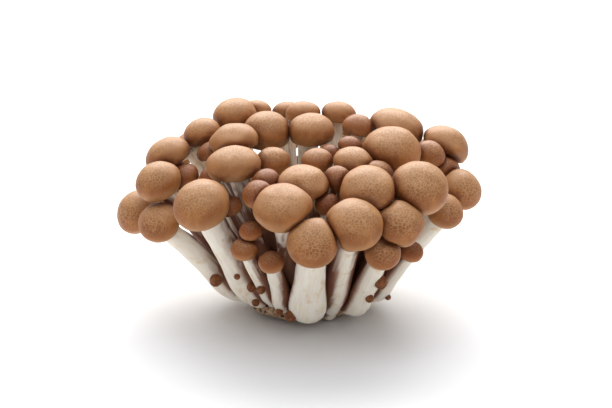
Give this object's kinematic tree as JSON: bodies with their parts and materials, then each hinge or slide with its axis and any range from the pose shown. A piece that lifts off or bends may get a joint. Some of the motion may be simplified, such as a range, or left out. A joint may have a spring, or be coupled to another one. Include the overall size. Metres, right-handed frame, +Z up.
{
  "type": "beech mushroom cluster",
  "caption": "Clump of beech mushrooms: rounded matt tan caps on pale curving stems that crowd together into one matted brown butt, on which the clump stands.",
  "frame": {"origin": "centre of the butt's flat foot, on the surface the clump stands on", "axes": "+Z up from the surface, +X along the clump's widest spread, -Y towards the side with the low front caps"},
  "size_m": [0.1202, 0.1015, 0.0646],
  "materials": {
    "cap": "matte",
    "stem": "matte",
    "gill": "matte",
    "pin": "matte",
    "butt": "matte"
  },
  "bodies": {
    "root": {"mushroom_01": "cap", "mushroom_02": "cap", "mushroom_03": "cap", "mushroom_04": "cap", "mushroom_05": "cap", "mushroom_06": "cap", "mushroom_07": "cap", "mushroom_08": "cap", "mushroom_09": "cap", "mushroom_10": "cap", "mushroom_11": "cap", "mushroom_12": "cap", "mushroom_13": "cap", "mushroom_14": "cap", "mushroom_15": "cap", "mushroom_16": "cap", "mushroom_17": "cap", "mushroom_18": "cap", "mushroom_19": "cap", "mushroom_20": "cap", "mushroom_21": "cap", "mushroom_22": "cap", "mushroom_23": "cap", "mushroom_24": "cap", "mushroom_25": "cap", "mushroom_26": "cap", "mushroom_27": "cap", "mushroom_28": "cap", "mushroom_29": "cap", "mushroom_30": "cap", "mushroom_31": "cap", "mushroom_32": "cap", "mushroom_33": "cap", "mushroom_34": "cap", "mushroom_35": "cap", "mushroom_36": "cap", "mushroom_37": "cap", "mushroom_38": "cap", "mushroom_39": "cap", "mushroom_40": "cap", "mushroom_41": "cap", "mushroom_42": "cap", "mushroom_43": "cap", "mushroom_44": "cap", "mushroom_45": "cap", "mushroom_46": "cap", "mushroom_47": "cap", "mushroom_48": "cap", "mushroom_49": "cap", "mushroom_50": "cap", "mushroom_51": "cap", "mushroom_52": "cap", "mushroom_53": "cap", "mushroom_54": "cap", "mushroom_55": "cap", "mushroom_56": "cap", "mushroom_57": "cap", "mushroom_58": "cap", "mushroom_59": "cap", "mycelium_base": "butt"}
  },
  "joints": []
}
